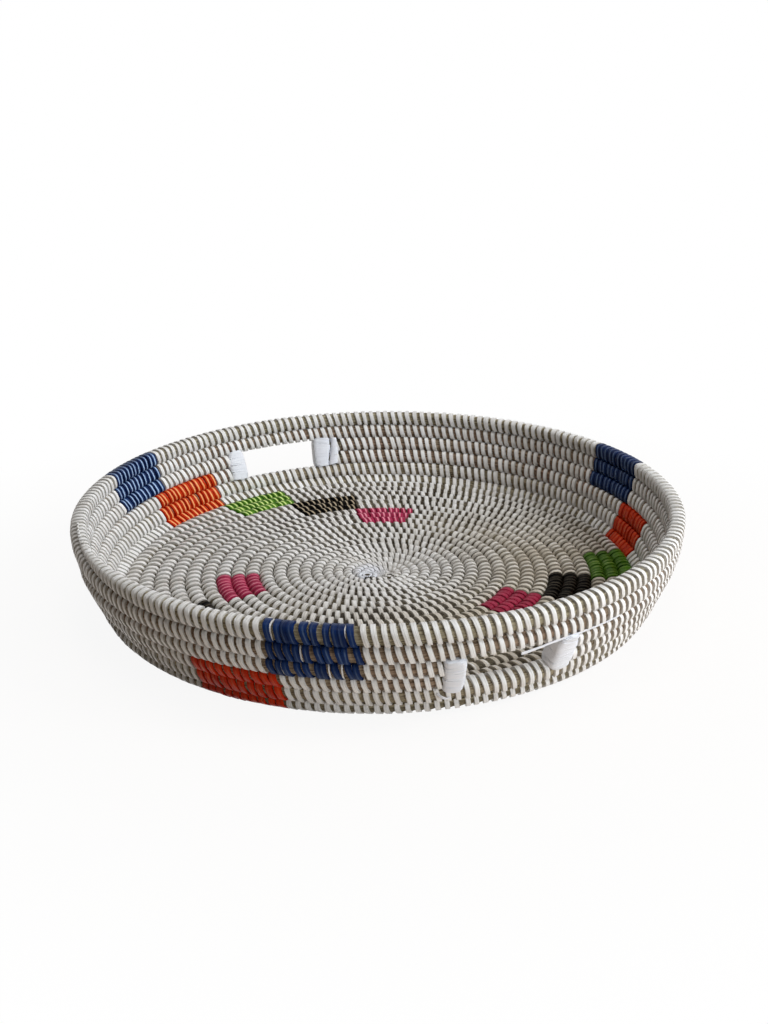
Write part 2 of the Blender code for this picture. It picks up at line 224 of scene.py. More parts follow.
def centre_at(azimuth, row):
    radius, height = on_profile(row)
    fade = np.exp(-radius / START_FADE)
    drawn = OVAL_REACH * fade * np.cos(np.radians(azimuth - OVAL_AZIMUTH))
    level = radius[:, None] * heading(azimuth) + drawn[:, None] * LONG_WAY
    moved = OFF_CENTRE * fade[:, None] * heading(OFF_CENTRE_AZIMUTH)
    return level + moved + height[:, None] * UPWARD


def unit(vectors):
    return vectors / np.linalg.norm(vectors, axis=-1, keepdims=True)


def framed(travel, row, centre, along, across, beyond):
    """A run of the coil with its directions made square to each other."""
    lean = lean_at(row)[:, None]
    stack = heading(-travel) * np.cos(lean) + UPWARD * np.sin(lean)
    ahead = unit(beyond - centre)
    inward = unit(np.cross(ahead, stack))
    wide = np.ones(len(travel))
    return Run(travel, row, centre, ahead, np.cross(inward, ahead), inward, along, across, wide)


def short_run(row, centre, ahead, stack, inward, along, across):
    """A run off the coil's course, all in the colours of one row. One direction or size may serve all places."""
    count = len(centre)
    ways = [way + np.zeros((count, 3)) for way in (ahead, stack, inward)]
    sizes = [size + np.zeros(count) for size in (along, across, 1.0)]
    return Run(np.zeros(count), np.full(count, float(row)), centre, *ways, *sizes)


def spiral_run(travel):
    """The long coil at these travels. It is as wide as its nearer neighbour allows."""
    row = spiral_row(travel)
    centre = centre_at(-travel, row)
    gaps = np.full(len(travel), np.inf)
    for neighbour in (travel - TURN, travel + TURN):
        other = spiral_row(neighbour)
        gap = np.linalg.norm(centre_at(-travel, other) - centre, axis=1)
        gaps = np.where(other <= KNOT_ROW, np.minimum(gaps, gap), gaps)
    beyond = centre_at(-travel - 0.5, spiral_row(travel + 0.5))
    return framed(travel, row, centre, gaps / 2, half_at(row), beyond)


def run_in_row(row_of, thickness=lambda travel: 1.0):
    """The same for coil whose row and thickness at each travel come from these functions."""

    def place(travel):
        row = row_of(travel)
        half = pitch_at(row) * thickness(travel) / 2
        beyond = centre_at(-travel - 0.5, row_of(travel + 0.5))
        return framed(travel, row, centre_at(-travel, row), half, half, beyond)

    return place


def level_run(row):
    return run_in_row(lambda travel: np.full(len(travel), float(row)))


def tapered_run(start, rows, ending):
    """A drawn-out end, which fills the wedge beside the row that climbs."""
    top = rows[0] if ending else rows[-1] + 0.5

    def share(travel):
        return eased((travel - start) / CLIMB_ARC)

    def thickness(travel):
        return np.maximum(1 - share(travel) if ending else share(travel), 0.12)

    return run_in_row(lambda travel: top - share(travel) / 2, thickness)


SLOT_ROW = sum(SIDE_ROWS) / 2
SLOT_RADIUS = on_profile(SLOT_ROW)[0]
BEND_NOSE = pitch_at(SLOT_ROW) / 2 + half_at(SLOT_ROW) + (FIT + BINDING_STRIP) * 1.118


def beside_slot(slot, side, reach):
    """Azimuth this far past the right or left end of a hand slot. The bend's middle is BEND_NOSE past it."""
    return slot[1] + side * math.degrees((slot[2] / 2 + reach) / SLOT_RADIUS)


# Node trees


def add(tree, kind, values=None, **settings):
    """A node with its settings, and a value or a link for each input named or numbered in values.

    A node among the values stands for its first output.
    """
    made = tree.nodes.new(kind)
    for key, value in settings.items():
        setattr(made, key, value)
    for label, value in (values or {}).items():
        socket = made.inputs[label]
        value = value.outputs[0] if isinstance(value, bpy.types.Node) else value
        if isinstance(value, bpy.types.NodeSocket):
            tree.links.new(value, socket)
        else:
            socket.default_value = (*value, 1.0) if socket.type == "RGBA" else value
    return made


def reckon(tree, operation, *values):
    return add(tree, "ShaderNodeMath", dict(enumerate(values)), operation=operation).outputs[0]


def total(tree, first, *others):
    for value in others:
        first = reckon(tree, "ADD", first, value)
    return first


def product(tree, first, *others):
    for value in others:
        first = reckon(tree, "MULTIPLY", first, value)
    return first


def apart(tree, first, second):
    return reckon(tree, "ABSOLUTE", reckon(tree, "SUBTRACT", first, second))


def ranged(tree, value, low, high, to_low=0.0, to_high=1.0):
    return add(tree, "ShaderNodeMapRange", {"Value": value, 1: low, 2: high, 3: to_low, 4: to_high}).outputs[0]


def mixed(tree, share, first, second, blend="MIX"):
    return add(tree, "ShaderNodeMix", {0: share, 6: first, 7: second}, data_type="RGBA", blend_type=blend).outputs[2]


def reading(tree, name):
    return add(tree, "ShaderNodeAttribute", attribute_name=name).outputs["Fac"]


def noise(tree, place, scale, detail, roughness=0.5):
    values = {"Vector": place, "Scale": scale, "Detail": detail, "Roughness": roughness}
    return add(tree, "ShaderNodeTexNoise", values).outputs["Fac"]


def how_far(tree, place, point):
    return add(tree, "ShaderNodeVectorMath", {0: place, 1: point}, operation="DISTANCE").outputs["Value"]


def titled(values):
    """Values by the names that sockets have: strip_width becomes Strip Width."""
    return {label.replace("_", " ").title(): value for label, value in values.items()}


def new_tree(name, kind, inputs, outputs):
    tree = bpy.data.node_groups.new(name, kind)
    for label, (socket_type, value) in titled(inputs).items():
        socket = tree.interface.new_socket(label, in_out="INPUT", socket_type="NodeSocket" + socket_type)
        if value is not None:
            socket.default_value = value
    for label, socket_type in titled(outputs).items():
        tree.interface.new_socket(label, in_out="OUTPUT", socket_type="NodeSocket" + socket_type)
    return tree, tree.nodes.new("NodeGroupInput").outputs, tree.nodes.new("NodeGroupOutput").inputs


def surfaced(tree, shader, colour, height, strength, depth):
    bump = add(tree, "ShaderNodeBump", {"Height": height, "Strength": strength, "Distance": depth})
    tree.links.new(colour, shader.inputs["Base Color"])
    tree.links.new(bump.outputs[0], shader.inputs["Normal"])


def make_stitch_tree():
    """Lays one turn of strip at each marked point: a flat band wound once round the coil there."""
    inputs = {
        "geometry": ("Geometry", None),
        "strip_width": ("Float", WALL_STRIP_WIDTH),
        "strip_thickness": ("Float", 0.14),
        "advance": ("Float", WALL_STITCH),
        "squareness": ("Float", WALL_SQUARENESS),
        "fanning": ("Float", 1.0),
        "inside_widening": ("Float", 1.0),
        "steps_round": ("Int", 14),
        "wander": ("Float", 0.06),
        "gleam": ("Float", 0.0),
        "seed": ("Int", 1),
        "strip": ("Material", None),
    }
    tree, given, result = new_tree("wound_strip", "GeometryNodeTree", inputs, {"geometry": "Geometry"})
    values = {"Vertices": 4, "Side Segments": given["Steps Round"], "Radius": 1.0, "Depth": 2.0}
    band = add(tree, "GeometryNodeMeshCylinder", values, fill_type="NGON")
    place = add(tree, "ShaderNodeSeparateXYZ", {0: tree.nodes.new("GeometryNodeInputPosition")})
    x, y, z = place.outputs
    side = reckon(tree, "SUBTRACT", x, y)
    face = total(tree, x, y)

    def with_value(geometry, name, value):
        values = {"Geometry": geometry, "Name": name, "Value": value}
        return add(tree, "GeometryNodeStoreNamedAttribute", values, data_type="FLOAT").outputs[0]

    marked = with_value(with_value(band.outputs["Mesh"], "across", side), "round", z)
    turn = product(tree, total(tree, z, 1.0), math.pi)
    reach = reckon(tree, "MULTIPLY_ADD", reckon(tree, "SUBTRACT", face, 1.0), given["Strip Thickness"], 1.0)

    def squared(value):
        size = reckon(tree, "POWER", reckon(tree, "ABSOLUTE", value), given["Squareness"])
        return product(tree, size, reckon(tree, "SIGN", value), reach)

    along = product(tree, squared(reckon(tree, "COSINE", turn)), -1.0)
    across = product(tree, squared(reckon(tree, "SINE", turn)), -1.0)
    narrowed = ranged(tree, along, -1.0, 1.0, given["Fanning"], 1.0)
    bevel = reckon(tree, "MULTIPLY_ADD", face, -0.09, 0.91)
    widened = ranged(tree, across, -0.6, 0.6, 1.0, given["Inside Widening"])
    width = product(tree, given["Strip Width"], narrowed, 0.5, widened, bevel, side)
    left = reckon(tree, "SUBTRACT", 1.0, along)
    advance = product(tree, left, 0.25, reckon(tree, "SIGN", z), given["Advance"])
    laid = add(tree, "ShaderNodeCombineXYZ", {0: total(tree, width, advance), 1: along, 2: across})
    band = add(tree, "GeometryNodeSetPosition", {"Geometry": marked, "Position": laid})

    def stored(name):
        found = add(tree, "GeometryNodeInputNamedAttribute", {"Name": name}, data_type="FLOAT_VECTOR")
        return found.outputs["Attribute"]

    def chance(low, high, step):
        values = {2: low, 3: high, "Seed": total(tree, given["Seed"], float(step))}
        return add(tree, "FunctionNodeRandomValue", values, data_type="FLOAT").outputs[1]

    toned = with_value(given["Geometry"], "tone", chance(0.0, 1.0, 0))
    # The gleam sets how much painted highlight shows on these turns.
    toned = with_value(toned, "gleam", given["Gleam"])
    ways = {0: stored("ahead"), 1: stored("stack")}
    turned = add(tree, "FunctionNodeAxesToRotation", ways, primary_axis="X", secondary_axis="Y")
    high = given["Wander"]
    low = product(tree, high, -1.0)
    sway = add(tree, "ShaderNodeCombineXYZ", {1: chance(low, high, 1), 2: chance(low, high, 2)})
    sway = add(tree, "FunctionNodeEulerToRotation", {0: sway})
    swayed = add(tree, "FunctionNodeRotateRotation", {0: turned, 1: sway}, rotation_space="LOCAL")
    full = total(tree, 1.0, chance(low, high, 3))
    full = add(tree, "ShaderNodeCombineXYZ", {0: full, 1: 1.0, 2: 1.0})
    size = add(tree, "ShaderNodeVectorMath", {0: stored("half"), 1: full}, operation="MULTIPLY")
    values = {"Points": toned, "Instance": band, "Rotation": swayed, "Scale": size}
    sewn = add(tree, "GeometryNodeInstanceOnPoints", values)
    real = add(tree, "GeometryNodeRealizeInstances", {0: sewn})
    finished = add(tree, "GeometryNodeSetMaterial", {0: real, "Material": given["Strip"]})
    tree.links.new(finished.outputs[0], result["Geometry"])
    return tree


# Meshes


def mesh_object(name, points, faces, finish=None):
    mesh = bpy.data.meshes.new(name)
    mesh.from_pydata([tuple(point) for point in points], [], faces)
    if finish:
        mesh.materials.append(finish)
        mesh.shade_smooth()
    return scene_object(name, mesh)


def scene_object(name, data):
    made = bpy.data.objects.new(name, data)
    bpy.context.scene.collection.objects.link(made)
    return made


def store(made, label, values, kind="FLOAT"):
    """Keeps a value, or a direction, for each point of the object's mesh."""
    layer = made.data.attributes.new(label, kind, "POINT")
    field = "value" if kind == "FLOAT" else "vector"
    layer.data.foreach_set(field, np.asarray(values, np.float32).ravel())


def corner_fill(row):
    """The rows at the foot reach this much further, because the wall turns into the floor there."""
    return np.interp(row, (4.4, 4.9, 7.1, 7.6), (0.0, 0.0003, 0.0003, 0.0))


def sew(name, run, finish, lifted=0.0, **inputs):
    """Runs the stitch tree over points with the run's directions and half sizes, and leaves a plain mesh."""
    marks = mesh_object(f"{name}_marks", run.centre - run.stack * BITE / 2, [])
    half = np.stack((run.wide, run.along + BITE / 2 + (lifted + corner_fill(run.row)), run.across), axis=-1)
    layers = {"ahead": run.ahead, "stack": run.stack, "half": half}
    for label, values in layers.items():
        store(marks, label, values, "FLOAT_VECTOR")
    modifier = marks.modifiers.new("sewing", "NODES")
    modifier.node_group = STITCH_TREE
    sockets = {
        item.name: item.identifier
        for item in STITCH_TREE.interface.items_tree
        if item.item_type == "SOCKET" and item.in_out == "INPUT"
    }
    for label, value in titled({**inputs, "strip": finish}).items():
        modifier[sockets[label]] = value
    graph = bpy.context.evaluated_depsgraph_get()
    mesh = bpy.data.meshes.new_from_object(marks.evaluated_get(graph), depsgraph=graph)
    mesh.name = name
    for label in layers:
        mesh.attributes.remove(mesh.attributes[label])
    mesh.shade_smooth()
    mesh.set_sharp_from_angle(angle=SHARP)
    bpy.data.objects.remove(marks, do_unlink=True)
    return scene_object(name, mesh)


def joined(name, parts):
    """One object from several meshes with the same layers."""
    for item in bpy.context.selected_objects:
        item.select_set(False)
    for item in parts:
        item.select_set(True)
    bpy.context.view_layer.objects.active = parts[0]
    if len(parts) > 1:
        bpy.ops.object.join()
    parts[0].name = parts[0].data.name = name
    return parts[0]


def in_slot(run):
    """Which places lie over or under a hand slot."""
    inside = np.zeros(len(run.travel), bool)
    for _, middle, length, *_ in HAND_SLOTS:
        off_middle = (-run.travel - middle + TURN / 2) % TURN - TURN / 2
        inside |= np.abs(off_middle) < math.degrees(length / 2 / SLOT_RADIUS) + 1.0
    return inside


def tube_faces(rings, sides):
    """Faces of a closed tube whose points come ring by ring."""
    faces = []
    for low in range(0, (rings - 1) * sides, sides):
        for i in range(sides):
            j = (i + 1) % sides
            faces.append((low + i, low + sides + i, low + sides + j, low + j))
    return faces + [tuple(range(sides)), tuple(range(rings * sides - 1, (rings - 1) * sides - 1, -1))]


def lengths(points):
    """How far each point lies along a path."""
    return np.concatenate(([0.0], np.cumsum(np.linalg.norm(np.diff(points, axis=0), axis=1))))


def rounded(value, power):
    return np.sign(value) * np.abs(value) ** power


def bundle(name, run, swell=0.0, top_free=None, foot_free=None):
    """The grass core under the strip: a tube that is drawn in under each stitch and swells between.

    It fills up to the next row on either side, except where that side is free and shows.
    """
    count = len(run.travel)
    depth = np.interp(run.row, (6, 8), (BUNDLE_DEPTH, FLOOR_BUNDLE_DEPTH)) - BUNDLE_SWELL * swell
    turn = 2 * math.pi * np.arange(BUNDLE_SIDES) / BUNDLE_SIDES
    level = rounded(np.cos(turn), BUNDLE_ROUNDNESS)
    rise = rounded(np.sin(turn), BUNDLE_ROUNDNESS)
    filled = run.along + BUNDLE_FILL + corner_fill(run.row)
    drawn_in = run.along - depth
    high = filled if top_free is None else np.where(top_free, drawn_in, filled)
    low = filled if foot_free is None else np.where(foot_free, drawn_in, filled)
    along = np.where(level[None, :] > 0, high[:, None], low[:, None])[:, :, None]
    across = np.maximum(run.across - depth, THINNEST_BUNDLE)[:, None, None]
    out = run.stack[:, None] * along * level[:, None] + run.inward[:, None] * across * rise[:, None]
    points = (run.centre[:, None] + out).reshape(-1, 3)
    made = mesh_object(name, points, tube_faces(count, BUNDLE_SIDES), GRASS)
    length = lengths(run.centre)
    step = 2 * math.pi * float(np.mean(run.across)) / BUNDLE_SIDES
    flat = []
    for start, end in zip(length[:-1], length[1:]):
        for low, high in ((step * i, step * (i + 1)) for i in range(BUNDLE_SIDES)):
            flat += [start, low, end, low, end, high, start, high]
    flat += [0.0] * (4 * BUNDLE_SIDES)
    made.data.uv_layers.new(name="UVMap").data.foreach_set("uv", np.asarray(flat, np.float32))
    store(made, "row", np.repeat(run.row, BUNDLE_SIDES))
    return made


# Where the stitches lie


def arc_travels(place, start, end, pitch, uneven=EVEN_SEWING):
    """Travels of stitches about one pitch apart, evenly spread from start to end, with a little unevenness."""
    grid = np.linspace(start, end, max(int((end - start) * SAMPLES_PER_DEGREE), 8))
    run = place(grid)
    spacing = pitch(run)
    sewn = np.concatenate(([0.0], np.cumsum(np.diff(lengths(run.centre)) / ((spacing[1:] + spacing[:-1]) / 2))))
    count = max(int(round(sewn[-1])), 1)
    marks = (np.arange(count) + 0.5) / count * sewn[-1]
    return np.interp(marks + CHANCE.uniform(-uneven, uneven, count), sewn, grid)


def drift(run):
    return -STITCH_DRIFT * np.cos(np.radians(-run.travel - WIDEST_AZIMUTH))


def floor_stitch(run):
    plain = np.interp(run.row, (FLOOR_TOP_ROW, 16.0, 20.0, KNOT_ROW), (FLOOR_STITCH, 0.0074, 0.0066, KNOT_STITCH))
    return plain + drift(run) * np.clip((16.0 - run.row) / 4, 0, 1) * 0.6


def wall_stitch(run):
    return WALL_STITCH - drift(run)


def block_stitch(run):
    return np.interp(run.row, (6, 7), (WALL_BLOCK_STITCH, FLOOR_BLOCK_STITCH))


def all_spans():
    """For each block and row: the travels where its colour begins and ends, a little uneven as sewn."""
    spans = {}
    for colour, (rows, arms) in BLOCKS.items():
        for number, (middle, width) in enumerate(arms, 1):
            for row in rows:
                start = travel_to(rows[0], middle) - width / 2 + TURN * (rows[0] - row)
                shift = np.degrees(CHANCE.uniform(-SPAN_SHIFT, SPAN_SHIFT, 2) / float(on_profile(row)[0]))
                spans[(colour, number, row)] = (start + shift[0], start + width + shift[1])
    return spans


SPANS = all_spans()


def free_stretches(start, end, spans):
    """What is left of start to end outside the spans."""
    left = []
    for first, last in sorted(span for _, span in spans):
        if last > start and first < end:
            left.append((start, first))
            start = last
    left.append((start, end))
    return [(low, high) for low, high in left if low < high]


# Finishes


def finish(name, roughness, **settings):
    made = bpy.data.materials.new(name)
    made.use_nodes = True
    shader = made.node_tree.nodes["Principled BSDF"]
    shader.inputs["Roughness"].default_value = roughness
    for label, value in settings.items():
        shader.inputs[label.replace("_", " ")].default_value = value
    return made, made.node_tree, shader


def make_strip_group():
    """Colour and surface of flat plastic strip: its fold with painted shade, fine lines along it, painted shade at
    its edges, painted highlight streaks, a fresher, bluer tint near the knot's eye, painted shade with warm bounce
    light on part of the floor, and a tone for each turn.
    """
    inputs = {
        "lit_colour": ("Color", (0.9, 0.9, 0.9, 1.0)),
        "deep_colour": ("Color", (0.7, 0.7, 0.7, 1.0)),
        "streak_colour": ("Color", (1.0, 1.0, 1.0, 1.0)),
        "streak_share": ("Float", 0.2),
        "tone_share": ("Float", 0.5),
        "crease_share": ("Float", 0.3),
        "fresh_share": ("Float", 0.0),
        "edge_share": ("Float", 0.0),
    }
    outputs = {"colour": "Color", "height": "Float", "roughness": "Float"}
    tree, given, result = new_tree("strip_surface", "ShaderNodeTree", inputs, outputs)
    across, round_turn, tone = (reading(tree, name) for name in ("across", "round", "tone"))
    from_middle = reckon(tree, "ABSOLUTE", across)
    place = add(tree, "ShaderNodeTexCoord").outputs["Object"]
    ways = {0: product(tree, across, 2.6), 1: product(tree, round_turn, 1.3), 2: product(tree, tone, 60.0)}
    lines = noise(tree, add(tree, "ShaderNodeCombineXYZ", ways), 2.2, 3.0, 0.6)
    patches = noise(tree, place, 46.0, 2.0)
    from_fold = apart(tree, across, ranged(tree, tone, 0.0, 1.0, -0.35, 0.35))
    # Where the painted highlight runs: along the fold, fading away from each row's crest.
    off_crest = apart(tree, reckon(tree, "ABSOLUTE", round_turn), 0.5)
    crest = ranged(tree, off_crest, 0.10, 0.42, 1.0, 0.25)
    fold = product(tree, ranged(tree, from_fold, 0.10, 0.40, 1.0, 0.0), crest)
    lined = product(tree, ranged(tree, lines, 0.35, 0.75), 0.45)
    # Painted shade: the strip turns towards its deep colour at its edges, where it meets the grass and the next
    # turns.
    edge_shade_soft = product(tree, ranged(tree, from_middle, 0.72, 1.0), 0.35)
    deep = total(tree, lined, product(tree, tone, given["Tone Share"]), edge_shade_soft)
    deep = add(tree, "ShaderNodeMath", {0: deep, 1: -0.1}, operation="ADD", use_clamp=True)
    colour = mixed(tree, deep, given["Lit Colour"], given["Deep Colour"])
    # Painted shade along the strip's fold, which the bump also sinks as a groove.
    crease_groove_and_shade = ranged(tree, from_fold, 0.03, 0.15, 1.0, 0.0)
    crease_shaded = mixed(tree, 1.0, colour, (0.55, 0.54, 0.53), "MULTIPLY")
    colour = mixed(tree, product(tree, crease_groove_and_shade, given["Crease Share"]), colour, crease_shaded)
    fresh = ranged(tree, how_far(tree, place, EYE_PLACE), 0.007, 0.018, 1.0, 0.0)
    colour = mixed(tree, product(tree, fresh, given["Fresh Share"]), colour, (0.86, 0.87, 0.93))
    # Painted shade, warmed by bounce light from the grass: the floor strip darker and browner on one side of the
    # floor.
    level = add(tree, "ShaderNodeVectorMath", {0: place, 1: (1.0, 1.0, 0.0)}, operation="MULTIPLY")
    out = how_far(tree, level, (0.0, 0.0, 0.0))
    warm_shade_zone = product(tree, ranged(tree, out, 0.05, 0.12), ranged(tree, out, 0.200, 0.204, 1.0, 0.0))
    warm_floor_shade = product(tree, ranged(tree, how_far(tree, place, WARM_SHADE_PLACE), 0.10, 0.22, 1.0, 0.0), warm_shade_zone)
    colour = mixed(tree, warm_floor_shade, colour, (0.79, 0.73, 0.63), "MULTIPLY")
    # Painted highlight: the streak colour along the fold, in patches and by each turn's gleam.
    patchy_highlight = product(tree, ranged(tree, patches, 0.42, 0.66), given["Streak Share"])
    gleam = product(tree, reading(tree, "gleam"), ranged(tree, lines, 0.35, 0.55, 0.45, 1.0))
    painted_highlight = product(tree, fold, reckon(tree, "MAXIMUM", patchy_highlight, gleam))
    colour = mixed(tree, painted_highlight, colour, given["Streak Colour"])
    # Painted shade: a dark contact line along the strip's edges.
    edge_shade_dark = product(tree, ranged(tree, from_middle, 0.86, 1.0), given["Edge Share"])
    colour = mixed(tree, edge_shade_dark, colour, (0.06, 0.05, 0.04))
    domed = reckon(tree, "MULTIPLY_ADD", product(tree, across, across), -0.3, 0.3)
    height = total(tree, product(tree, crease_groove_and_shade, -0.25), product(tree, lines, 0.35), domed)
    tree.links.new(colour, result["Colour"])
    tree.links.new(height, result["Height"])
    tree.links.new(ranged(tree, lines, 0.3, 0.8, 0.22, 0.46), result["Roughness"])
    return tree


def strip_finish(name, lit, deep, streak, gloss, relief, *shares):
    """Strip of one colour. Lit, deep and streak are its colours, the streak a painted highlight, and the shares go to
    the group in SHARES order.
    """
    made, tree, shader = finish(name, 0.4, Specular_IOR_Level=gloss)
    values = {"lit_colour": lit, "deep_colour": deep, "streak_colour": streak, **dict(zip(SHARES, shares))}
    given = add(tree, "ShaderNodeGroup", titled(values), node_tree=STRIP_GROUP).outputs
    tree.links.new(given["Roughness"], shader.inputs["Roughness"])
    surfaced(tree, shader, given["Colour"], given["Height"], 0.9, relief)
    return made


def make_grass():
    """Dry grass stems that run along the coil, khaki at the rim and the foot and redder between, and dark umber on
    the floor as painted shade for its deep gaps.
    """
    made, tree, shader = finish("dry_grass_bundle", 0.7, Specular_IOR_Level=0.25)
    places = add(tree, "ShaderNodeTexCoord").outputs

    def drawn_out(along, around):
        return add(tree, "ShaderNodeMapping", {"Vector": places["UV"], "Scale": (along, around, 1.0)})

    values = {"Vector": drawn_out(14.0, 900.0), "Scale": 1.0}
    stems = add(tree, "ShaderNodeTexVoronoi", values, voronoi_dimensions="2D")
    fibres = noise(tree, drawn_out(60.0, 2600.0), 1.0, 3.0)
    patches = noise(tree, places["Object"], 18.0, 3.0)
    row = reading(tree, "row")
    redder = product(
        tree,
        ranged(tree, row, 1.3, 1.9),
        ranged(tree, row, 4.4, 5.2, 1.0, 0.0),
        ranged(tree, patches, 0.30, 0.62, 0.35, 1.0),
    )
    stem_tone = add(tree, "ShaderNodeSeparateXYZ", {0: stems.outputs["Color"]})
    khaki = mixed(tree, stem_tone, (0.120, 0.095, 0.052), (0.420, 0.370, 0.250))
    russet = mixed(tree, stem_tone, (0.105, 0.060, 0.036), (0.360, 0.245, 0.170))
    umber = mixed(tree, stem_tone, (0.016, 0.011, 0.007), (0.075, 0.060, 0.034))
    # Painted shade: the floor's grass turns dark umber, for the shade in its deep gaps between stitches.
    floor_gap_shade = product(tree, ranged(tree, row, 5.6, 7.5), ranged(tree, patches, 0.35, 0.6, 0.5, 1.0))
    colour = mixed(tree, floor_gap_shade, mixed(tree, redder, khaki, russet), umber)
    colour = mixed(tree, ranged(tree, fibres, 0.45, 0.8, 0.0, 0.6), colour, (0.045, 0.032, 0.018))
    stem_rise = product(tree, ranged(tree, stems.outputs["Distance"], 0.0, 0.6, 1.0, 0.0), 0.8)
    height = total(tree, stem_rise, product(tree, fibres, 0.3))
    surfaced(tree, shader, colour, height, 0.8, 0.0008)
    return made


# Pieces


def keep(piece, slot, *nodes):
    """Puts a finished piece on the body and hides the nodes that it stands for. The slot argument is not used."""
    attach(piece, BODY)
    if nodes:
        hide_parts(*nodes)


def swell_rings(place, travels, start, end):
    """Rings for the bundle: one under each stitch and one in each gap, with the swelling at each."""
    travels = np.sort(travels)
    gaps = (travels[1:] + travels[:-1]) / 2
    every = np.concatenate(([start], travels, gaps, [end]))
    swell = np.concatenate(([1.0], np.zeros(len(travels)), np.ones(len(gaps)), [1.0]))
    order = np.argsort(every)
    return place(every[order]), swell[order]


def lay_stitches(place, start, end, spans, sewing, white_runs):
    """White and coloured stitches of one stretch. Keeps the runs, and gives back where every stitch lies."""
    travels = []
    for low, high in free_stretches(start, end, spans):
        marks = arc_travels(place, low, high, sewing.pitch)
        travels.append(marks)
        run = place(marks)
        wide = np.minimum(WIDEST_SHARE * sewing.pitch(run) / sewing.width, 1.0)
        white_runs.append(run._replace(wide=wide))
    for key, (low, high) in spans:
        if low >= start - 1 and high <= end + 1:
            loose = key[:2] == ("blue", 3)
            marks = arc_travels(place, low, high, block_stitch, LOOSE_PAIRS if loose else EVEN_SEWING)
            travels.append(marks)
            BLOCK_RUNS.setdefault(key[:2], []).append((place(marks), sewing.squareness))
            if loose:
                white_runs.append(carried_glint_turns(place, marks))
    return np.concatenate(travels)


def sew_white(name, runs, sewing):
    inputs = dict(strip_width=sewing.width, inside_widening=sewing.widening, squareness=sewing.squareness)
    run = Run(*(np.concatenate(values) for values in zip(*runs)))
    keep(sew(f"{name}_white_strip", run, sewing.finish, **inputs), "white_strip")


def sew_coil(name, stretches, spans, sewing):
    """One coil: its white stitches, its colour stitches by block, and its bundle."""
    white_runs, bundles = [], []
    for number, (place, start, end) in enumerate(stretches):
        travels = lay_stitches(place, start, end, spans, sewing, white_runs)
        rings, swell = swell_rings(place, travels, start, end)
        slots = in_slot(rings)
        top_free = (rings.travel > TOP_ROW_START) | (slots & (np.abs(rings.row - SIDE_ROWS[1] - 1) < 0.3))
        foot_free = slots & (np.abs(rings.row - SIDE_ROWS[0] + 1) < 0.3)
        bundles.append(bundle(f"{name}_bundle_{number}", rings, swell, top_free, foot_free))
    sew_white(name, white_runs, sewing)
    keep(joined(f"{name}_grass_bundle", bundles), "grass_coil", name)


# Loops on the knot: along it, aside, up, radius, half thickness, turns of strip, and where it begins and ends
KNOT_LOOPS = (
    (-0.0098, -0.0080, 0.0036, 0.0029, 0.0009, 15, 0.0, 5.9),
    (-0.0098, -0.0080, 0.0033, 0.0060, 0.0014, 24, -0.6, 4.2),
    (0.0085, -0.0090, 0.0036, 0.0032, 0.0011, 12, -0.4, 3.8),
    (0.0030, 0.0060, 0.0012, 0.0125, 0.0022, 16, -2.2, -0.9),
)
# Dark grass in the loops and under the knot, painted shade for those hollows: along it, aside, radius, half breadth,
# up
KNOT_WELLS = (
    (-0.0098, -0.0080, 0.0050, 0.0050, 0.0033),
    (-0.0066, -0.0124, 0.0020, 0.0016, 0.0031),
    (0.0074, -0.0108, 0.0029, 0.0029, 0.0028),
    (0.0000, 0.0000, 0.0150, 0.0088, -0.0002),
)


def knot_place(along, aside):
    middle = centre_at(np.linspace(0, 345, 24), np.full(24, KNOT_ROW - 0.5)).mean(axis=0) * (1, 1, 0)
    return middle + UPWARD * START_PITCH / 2 + LONG_WAY * along + WIDE_WAY * aside


def carried_glint_turns(place, marks):
    """Thin turns of white strip that show in some gaps between the coloured ones: strip carried under them, and
    partly a painted highlight for the pale glints in those gaps.
    """
    gaps = (marks[1:] + marks[:-1]) / 2
    run = place(gaps[CHANCE.random(len(gaps)) < GLINT_TURN_SHARE])
    wide = np.full(len(run.travel), GLINT_TURN_WIDTH)
    return run._replace(wide=wide, along=run.along - 0.0002, across=run.across - 0.0006)


def spans_for(low, high):
    return [(key, span) for key, span in SPANS.items() if low <= span[0] and span[1] <= high]


def level_spans(row, start, end):
    """Spans of a level row, brought into start to end by whole turns."""
    found = []
    for key, (first, last) in SPANS.items():
        turns = math.floor((start - first) / TURN)
        for extra in (turns * TURN, (turns + 1) * TURN, (turns + 2) * TURN):
            if key[2] == row and first + extra >= start and last + extra <= end:
                found.append((key, (first + extra, last + extra)))
    return found


def make_floor_and_foot():
    joint = travel_to(FLOOR_TOP_ROW, FLOOR_JOINT_AZIMUTH)
    end = CLIMB_START + TURN * (KNOT_ROW - 5)
    floor = [(spiral_run, FIRST_TRAVEL, joint)]
    foot = [(spiral_run, joint, end), (tapered_run(end, (5, 6), True), end, end + CLIMB_ARC * 0.85)]
    sew_coil("floor_coil", floor, spans_for(FIRST_TRAVEL, joint), FLOOR_SEWING)
    sew_coil("wall_foot_coil", foot, spans_for(joint, end), WALL_SEWING)


def make_rim():
    start = CLIMB_START + TURN * (KNOT_ROW - 2 - 1)
    end = CLIMB_START + TURN * (KNOT_ROW - 1)
    stretches = [
        (tapered_run(start, (1, 2), False), start + CLIMB_ARC * 0.15, start + CLIMB_ARC),
        (spiral_run, start + CLIMB_ARC, end),
        (tapered_run(end, (1, 2), True), end, end + CLIMB_ARC * 0.85),
    ]
    sew_coil("rim_coil", stretches, spans_for(start, end), WALL_SEWING)


def hairpin_place(slot, side):
    """Middle and directions of a turned back end: into the slot, up the wall, and the wall's inner side."""
    run = level_run(SLOT_ROW)(np.array([-beside_slot(slot, side, BEND_NOSE)]))
    return run.centre[0], run.ahead[0] * side, run.stack[0], run.inward[0]


